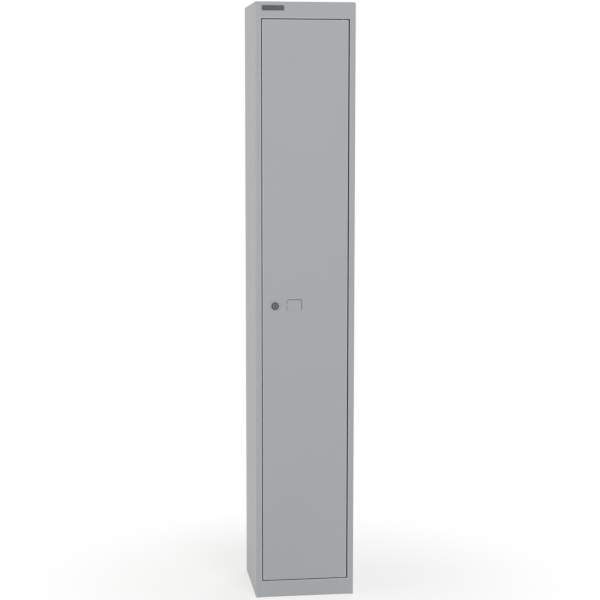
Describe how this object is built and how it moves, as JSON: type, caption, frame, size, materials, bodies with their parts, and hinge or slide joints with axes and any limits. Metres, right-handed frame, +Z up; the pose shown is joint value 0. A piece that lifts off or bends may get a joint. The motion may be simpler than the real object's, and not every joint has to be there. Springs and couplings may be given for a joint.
{
  "type": "metal locker",
  "caption": "Tall grey sheet-steel locker with a flush hinged door, cam lock, card holder, hat shelf and coat hook inside, standing on a plinth.",
  "frame": {"origin": "on the ground, below the middle of the carcass", "axes": "+Z up, +X to the right seen from the front, +Y from the door to the back panel"},
  "size_m": [0.3, 0.305, 1.8],
  "materials": {
    "grey_paint": "satin grey powder coat with fine orange peel",
    "plated_steel": "bright zinc plate",
    "dark_plate": "dark grey satin plate, blank",
    "black_rubber": "matt black rubber",
    "nylon": "black nylon",
    "dark_nickel": "dark nickel on die-cast zinc",
    "bright_nickel": "satin nickel",
    "wafer_brass": "stamped brass"
  },
  "bodies": {
    "carcass": {"left_side_panel": "grey_paint", "right_side_panel": "grey_paint", "back_panel": "grey_paint", "top_panel": "grey_paint", "floor_panel": "grey_paint", "header_rail": "grey_paint", "plinth_rail": "grey_paint", "hat_shelf": "grey_paint", "left_shelf_runner": "grey_paint", "right_shelf_runner": "grey_paint", "shelf_rivets": "plated_steel", "coat_hook": "plated_steel", "hook_rivets": "plated_steel", "label_plate": "dark_plate", "door_buffers": "black_rubber", "upper_pivot_plate": "grey_paint", "lower_pivot_plate": "grey_paint", "upper_hinge_pin": "plated_steel", "lower_hinge_pin": "plated_steel"},
    "door": {"door_skin": "grey_paint", "door_stiffener": "grey_paint", "upper_hinge_plate": "grey_paint", "lower_hinge_plate": "grey_paint", "upper_hinge_bush": "nylon", "lower_hinge_bush": "nylon", "card_holder": "grey_paint", "lock_body": "dark_nickel", "lock_washer": "plated_steel", "lock_nut": "plated_steel"},
    "lock_core": {"lock_plug": "bright_nickel", "lock_wafers": "wafer_brass", "lock_cam": "plated_steel", "cam_screw": "plated_steel"}
  },
  "joints": [
    {"name": "door_hinge", "type": "hinge", "parent": "carcass", "child": "door", "pos_m": [0.11351, -0.141, 0.9], "axis": [0, 0, 1], "range_deg": [0, 115]},
    {"name": "lock_turn", "type": "hinge", "parent": "door", "child": "lock_core", "pos_m": [-0.0915, -0.14, 0.9], "axis": [0, 1, 0], "range_deg": [0, 90]}
  ]
}
